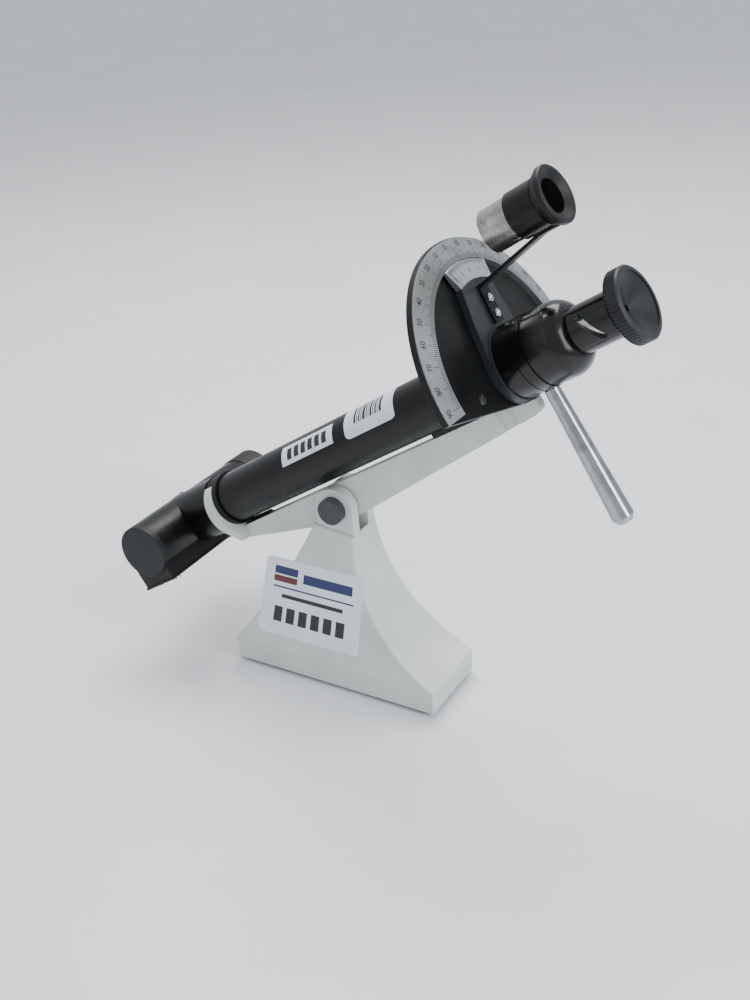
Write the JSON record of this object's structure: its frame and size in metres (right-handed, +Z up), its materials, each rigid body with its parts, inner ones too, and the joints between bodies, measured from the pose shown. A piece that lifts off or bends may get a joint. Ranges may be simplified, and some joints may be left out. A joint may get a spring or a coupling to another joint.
{
  "type": "bench polarimeter",
  "caption": "Small visual polarimeter: tilting black barrel on a cast stand, lamp housing at the low end, half-round degree scale, turning analyser head with lever, loupe and focusing eyepiece.",
  "frame": {"origin": "on the table, under the middle of the stand's slab", "axes": "+X along the stand towards the eyepiece, +Y to the back (lamp inlet side), +Z up"},
  "size_m": [0.33, 0.1514, 0.326],
  "materials": {
    "stand_paint": "fine hammered paint, light greenish grey",
    "cradle_paint": "fine hammered paint, light greenish grey",
    "pad_rubber": "moulded black rubber",
    "pivot_black": "blackened steel, matte",
    "zinc_steel": "zinc plated",
    "fibre": "pressed fibre",
    "screw_black": "blackened, knurled",
    "barrel_enamel": "satin black enamel",
    "dark_screw": "blackened steel",
    "collar_black": "matte black",
    "bearing_brass": "machined",
    "lamp_enamel": "satin black enamel",
    "cap_black": "matte dark grey",
    "inlet_black": "moulded black",
    "socket_ceramic": "unglazed white",
    "bulb_glass": "clear",
    "mirror_glass": "silvered glass",
    "bare_aluminium": "machined",
    "filter_glass": "orange filter",
    "cell_black": "matte black anodised",
    "shoe_enamel": "satin black enamel",
    "bright_screw": "nickel plated",
    "polaroid": "polarising sheet in glass",
    "sample_glass": "clear",
    "plate_black": "black anodised",
    "scale_silver": "satin, black graduations",
    "arm_grey": "grey black anodised",
    "vernier_silver": "satin, fine graduations",
    "housing_gloss": "gloss black enamel",
    "polished_rod": "polished",
    "draw_nickel": "bright nickel plate",
    "eyecap_black": "moulded black, matte",
    "lens_glass": "coated lens",
    "strip_black": "blackened",
    "sleeve_black": "satin black",
    "loupe_nickel": "worn nickel plate",
    "eyecup_black": "moulded black, matte"
  },
  "bodies": {
    "stand": {"stand_casting": "stand_paint", "base_pad": "pad_rubber", "pivot_bolt": "pivot_black", "pivot_washer": "zinc_steel", "pivot_nut": "zinc_steel", "friction_washers": "fibre"},
    "cradle": {"cradle_arm": "cradle_paint", "saddle_block": "barrel_enamel", "saddle_screws": "dark_screw", "tube_collar": "collar_black", "main_tube": "barrel_enamel", "head_bearing": "bearing_brass", "lamp_housing": "lamp_enamel", "housing_set_screw": "dark_screw", "front_cap": "cap_black", "rear_cap": "cap_black", "lamp_inlet": "inlet_black", "lamp_socket": "socket_ceramic", "lamp_bulb": "bulb_glass", "fold_mirror": "mirror_glass", "mirror_block": "bare_aluminium", "colour_filter": "filter_glass", "filter_cell": "cell_black", "shoe_block": "shoe_enamel", "shoe_plate": "shoe_enamel", "shoe_screws": "bright_screw", "polariser_cell": "cell_black", "polariser_disc": "polaroid", "sample_tube": "sample_glass", "sample_windows": "sample_glass", "sample_caps": "bearing_brass", "scale_plate": "plate_black", "scale_ring": "scale_silver", "scale_screws": "bright_screw"},
    "tube_clamp": {"clamp_screw": "screw_black"},
    "analyser": {"analyser_arm": "arm_grey", "vernier_plate": "vernier_silver", "eyepiece_housing": "housing_gloss", "analyser_cell": "cell_black", "analyser_disc": "polaroid", "lever_rod": "polished_rod", "eyepiece_tube": "housing_gloss", "loupe_bracket": "strip_black", "bracket_screws": "bright_screw", "loupe_sleeve": "sleeve_black"},
    "loupe": {"loupe_barrel": "loupe_nickel", "loupe_eyecup": "eyecup_black", "loupe_lens": "lens_glass"},
    "focus_carrier": {"lens_cell": "cell_black", "eye_lens": "lens_glass"},
    "eyepiece": {"draw_tube": "draw_nickel", "guide_screw": "dark_screw", "eye_cap": "eyecap_black"}
  },
  "joints": [
    {"name": "tilt", "type": "hinge", "parent": "stand", "child": "cradle", "pos_m": [0.003, 0, 0.1215], "axis": [0, 1, 0], "range_deg": [-13.5, 31.5]},
    {"name": "clamp_turn", "type": "hinge", "parent": "cradle", "child": "tube_clamp", "pos_m": [-0.05993, 0, 0.09596], "axis": [0.8526, 0, 0.5225], "range_deg": [-180, 180]},
    {"name": "analyser_turn", "type": "hinge", "parent": "cradle", "child": "analyser", "pos_m": [0.11411, 0, 0.22536], "axis": [0.8526, 0, 0.5225], "range_deg": [-84, 96]},
    {"name": "loupe_focus", "type": "slide", "parent": "analyser", "child": "loupe", "axis": [0.8526, 0, 0.5225], "range_m": [0, 0.006]},
    {"name": "focus_slide", "type": "slide", "parent": "analyser", "child": "focus_carrier", "axis": [0.8526, 0, 0.5225], "range_m": [0, 0.009]},
    {"name": "focus_turn", "type": "hinge", "parent": "focus_carrier", "child": "eyepiece", "pos_m": [0.16185, 0, 0.25462], "axis": [0.8526, 0, 0.5225], "range_deg": [0, 68]}
  ],
  "couplings": [
    {"joint": "focus_turn", "follows": "focus_slide", "rad_per_m": 131.87}
  ]
}
